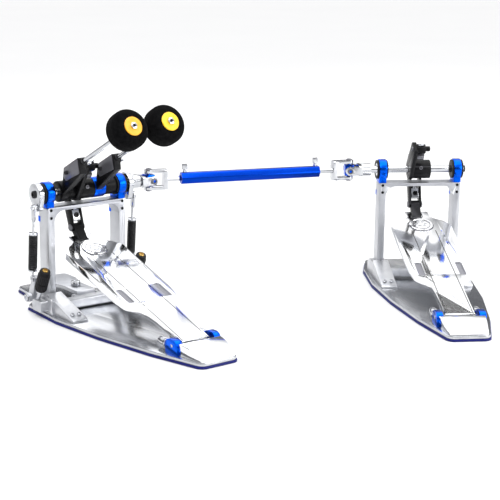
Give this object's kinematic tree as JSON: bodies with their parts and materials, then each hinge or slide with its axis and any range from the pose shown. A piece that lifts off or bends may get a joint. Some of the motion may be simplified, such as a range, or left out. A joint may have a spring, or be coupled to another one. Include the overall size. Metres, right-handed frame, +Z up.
{
  "type": "double bass drum pedal",
  "caption": "Double bass drum pedal: main pedal with two felt beaters and return springs, a slave pedal, and a telescoping drive shaft with universal joints.",
  "frame": {"origin": "on the floor under the middle of the main pedal shaft", "axes": "+X along the main shaft towards the slave pedal, +Y towards the drum, +Z up"},
  "size_m": [0.6505, 0.5511, 0.294],
  "materials": {
    "blue_rubber": "matte",
    "polished_plate": "polished sheet",
    "satin_frame": "satin",
    "cast_grey": "fine cast",
    "polished_board": "mirror polished",
    "blue_anodised": "blue anodised",
    "black_plastic": "matte",
    "black_metal": "satin black",
    "chrome": "chrome plated",
    "black_felt": "pressed felt",
    "orange_washer": "satin",
    "yellow_washer": "satin",
    "black_spring": "black oxide",
    "black_rubber": "matte"
  },
  "bodies": {
    "main_pedal": {"main_floor_mat": "blue_rubber", "main_base_plate": "polished_plate", "main_post_frame": "satin_frame", "main_feet": "cast_grey", "main_heel_plate": "polished_board", "main_hinge_blocks": "blue_anodised", "main_bearing_housings": "blue_anodised", "main_bearing_cartridges": "black_plastic", "spring_brackets": "cast_grey"},
    "main_footboard": {"main_footboard": "polished_board"},
    "main_link": {"main_link": "black_metal", "main_link_block": "chrome"},
    "left_beater_shaft": {"left_axle": "chrome", "main_cam": "black_metal", "main_cam_clamp": "black_metal", "left_beater_holder": "black_metal", "left_rocker": "chrome"},
    "left_beater": {"left_beater_rod": "chrome", "left_beater_head": "black_felt", "left_beater_badge": "orange_washer"},
    "right_beater_shaft": {"right_axle": "black_metal", "right_ring": "blue_anodised", "right_beater_holder": "black_metal", "right_rocker": "chrome", "main_shaft_yoke": "chrome"},
    "right_beater": {"right_beater_rod": "chrome", "right_beater_head": "black_felt", "right_beater_badge": "yellow_washer"},
    "left_spring_foot": {"left_spring_lower": "chrome", "left_spring_coil": "black_spring"},
    "left_spring_head": {"left_spring_upper": "chrome"},
    "right_spring_foot": {"right_spring_lower": "chrome", "right_spring_coil": "black_spring"},
    "right_spring_head": {"right_spring_upper": "chrome"},
    "left_tension_knob": {"left_tension_knob": "black_plastic"},
    "right_tension_knob": {"right_tension_knob": "black_plastic"},
    "hoop_jaw": {"hoop_jaw": "satin_frame", "hoop_jaw_pad": "black_rubber"},
    "hoop_clamp_screw": {"hoop_clamp_screw": "chrome"},
    "main_cross": {"main_cross": "blue_anodised"},
    "drive_tube": {"drive_tube": "blue_anodised", "tube_screws": "chrome", "main_rod_yoke": "chrome"},
    "slave_pedal": {"slave_floor_mat": "blue_rubber", "slave_base_plate": "polished_plate", "slave_post_frame": "satin_frame", "slave_feet": "cast_grey", "slave_heel_plate": "polished_board", "slave_hinge_blocks": "blue_anodised", "slave_bearing_housings": "blue_anodised", "slave_bearing_cartridges": "black_plastic"},
    "slave_footboard": {"slave_footboard": "polished_board"},
    "slave_link": {"slave_link": "black_metal", "slave_link_block": "chrome"},
    "slave_shaft": {"slave_axle": "chrome", "slave_cam": "black_metal", "slave_cam_clamp": "black_metal", "slave_shaft_yoke": "chrome"},
    "slave_cross": {"slave_cross": "blue_anodised"},
    "slave_rod": {"slave_rod_yoke": "chrome"}
  },
  "joints": [
    {"name": "left_beater_swing", "type": "hinge", "parent": "main_pedal", "child": "left_beater_shaft", "pos_m": [0, 0, 0.1634], "axis": [1, 0, 0], "range_deg": [-60, 0], "stiffness_Nm_per_rad": 1.5, "springref_deg": 20.05},
    {"name": "main_footboard_press", "type": "hinge", "parent": "main_pedal", "child": "main_footboard", "pos_m": [0, -0.257, 0.017], "axis": [1, 0, 0], "range_deg": [-5.95, 0]},
    {"name": "main_link_turn", "type": "hinge", "parent": "main_footboard", "child": "main_link", "pos_m": [0, 0.00242, 0.09144], "axis": [1, 0, 0], "range_deg": [0, 10.17]},
    {"name": "left_beater_height", "type": "slide", "parent": "left_beater_shaft", "child": "left_beater", "axis": [0, -0.8862, 0.4633], "range_m": [-0.006, 0.03]},
    {"name": "right_beater_swing", "type": "hinge", "parent": "main_pedal", "child": "right_beater_shaft", "pos_m": [0, 0, 0.1634], "axis": [1, 0, 0], "range_deg": [-60, 0], "stiffness_Nm_per_rad": 1.5, "springref_deg": 20.05},
    {"name": "right_beater_height", "type": "slide", "parent": "right_beater_shaft", "child": "right_beater", "axis": [0, -0.8862, 0.4633], "range_m": [-0.006, 0.03]},
    {"name": "left_spring_tilt", "type": "hinge", "parent": "main_pedal", "child": "left_spring_foot", "pos_m": [-0.077, 0.003, 0.05], "axis": [1, 0, 0], "range_deg": [0, 5.49]},
    {"name": "left_spring_stretch", "type": "slide", "parent": "left_spring_foot", "child": "left_spring_head", "axis": [0, -0.0822, 0.9966], "range_m": [0, 0.01397], "deforming": ["left_spring_coil"]},
    {"name": "left_tension_knob_turn", "type": "hinge", "parent": "main_pedal", "child": "left_tension_knob", "pos_m": [-0.075, -0.014, 0.038], "axis": [0, -0.4347, 0.9006], "continuous": true},
    {"name": "right_spring_tilt", "type": "hinge", "parent": "main_pedal", "child": "right_spring_foot", "pos_m": [0.077, 0.003, 0.05], "axis": [1, 0, 0], "range_deg": [0, 5.49]},
    {"name": "right_spring_stretch", "type": "slide", "parent": "right_spring_foot", "child": "right_spring_head", "axis": [0, -0.0822, 0.9966], "range_m": [0, 0.01397], "deforming": ["right_spring_coil"]},
    {"name": "right_tension_knob_turn", "type": "hinge", "parent": "main_pedal", "child": "right_tension_knob", "pos_m": [0.075, -0.014, 0.038], "axis": [0, -0.4347, 0.9006], "continuous": true},
    {"name": "hoop_jaw_close", "type": "hinge", "parent": "main_pedal", "child": "hoop_jaw", "pos_m": [0, -0.003, 0.015], "axis": [1, 0, 0], "range_deg": [-3, 0]},
    {"name": "hoop_clamp_screw_turn", "type": "hinge", "parent": "main_pedal", "child": "hoop_clamp_screw", "pos_m": [0, 0.022, 0.02], "axis": [0, 0, 1], "continuous": true},
    {"name": "main_cross_tilt", "type": "hinge", "parent": "right_beater_shaft", "child": "main_cross", "pos_m": [0.106, 0, 0.1634], "axis": [0, 1, 0], "range_deg": [0, 17]},
    {"name": "drive_tube_turn", "type": "hinge", "parent": "main_pedal", "child": "drive_tube", "pos_m": [0.106, 0, 0.1634], "axis": [0.943, -0.3327, 0], "range_deg": [-61.44, 0]},
    {"name": "slave_distance", "type": "slide", "parent": "main_pedal", "child": "slave_pedal", "axis": [0.943, -0.3327, 0], "range_m": [-0.008, 0.06]},
    {"name": "slave_rod_turn", "type": "hinge", "parent": "slave_pedal", "child": "slave_rod", "pos_m": [0.38703, -0.09913, 0.1634], "axis": [0.943, -0.3327, 0], "range_deg": [-61.44, 0]},
    {"name": "slave_shaft_turn", "type": "hinge", "parent": "slave_pedal", "child": "slave_shaft", "pos_m": [0.4756, -0.15267, 0.1634], "axis": [0.8558, -0.5173, 0], "range_deg": [-60.93, 0]},
    {"name": "slave_cross_tilt", "type": "hinge", "parent": "slave_shaft", "child": "slave_cross", "pos_m": [0.38703, -0.09913, 0.1634], "axis": [0.5173, 0.8558, 0], "range_deg": [-10.29, 0]},
    {"name": "slave_footboard_press", "type": "hinge", "parent": "slave_pedal", "child": "slave_footboard", "pos_m": [0.34266, -0.37261, 0.017], "axis": [0.8558, -0.5173, 0], "range_deg": [-6.04, 0]},
    {"name": "slave_link_turn", "type": "hinge", "parent": "slave_footboard", "child": "slave_link", "pos_m": [0.47686, -0.1506, 0.09144], "axis": [0.8558, -0.5173, 0], "range_deg": [0, 10.45]}
  ],
  "couplings": [
    {"joint": "main_footboard_press", "follows": "left_beater_swing", "ratio": 0.099011},
    {"joint": "main_link_turn", "follows": "left_beater_swing", "ratio": -0.16939},
    {"joint": "left_spring_tilt", "follows": "left_beater_swing", "ratio": -0.091381},
    {"joint": "left_spring_stretch", "follows": "left_beater_swing", "m_per_rad": -0.01333},
    {"joint": "right_spring_tilt", "follows": "right_beater_swing", "ratio": -0.091381},
    {"joint": "right_spring_stretch", "follows": "right_beater_swing", "m_per_rad": -0.01333},
    {"joint": "main_cross_tilt", "follows": "right_beater_swing", "ratio": -0.28312},
    {"joint": "drive_tube_turn", "follows": "right_beater_swing", "ratio": 1.0239},
    {"joint": "slave_rod_turn", "follows": "right_beater_swing", "ratio": 1.0239},
    {"joint": "slave_shaft_turn", "follows": "right_beater_swing", "ratio": 1.0154},
    {"joint": "slave_cross_tilt", "follows": "right_beater_swing", "ratio": 0.17128},
    {"joint": "slave_footboard_press", "follows": "right_beater_swing", "ratio": 0.10047},
    {"joint": "slave_link_turn", "follows": "right_beater_swing", "ratio": -0.174}
  ]
}
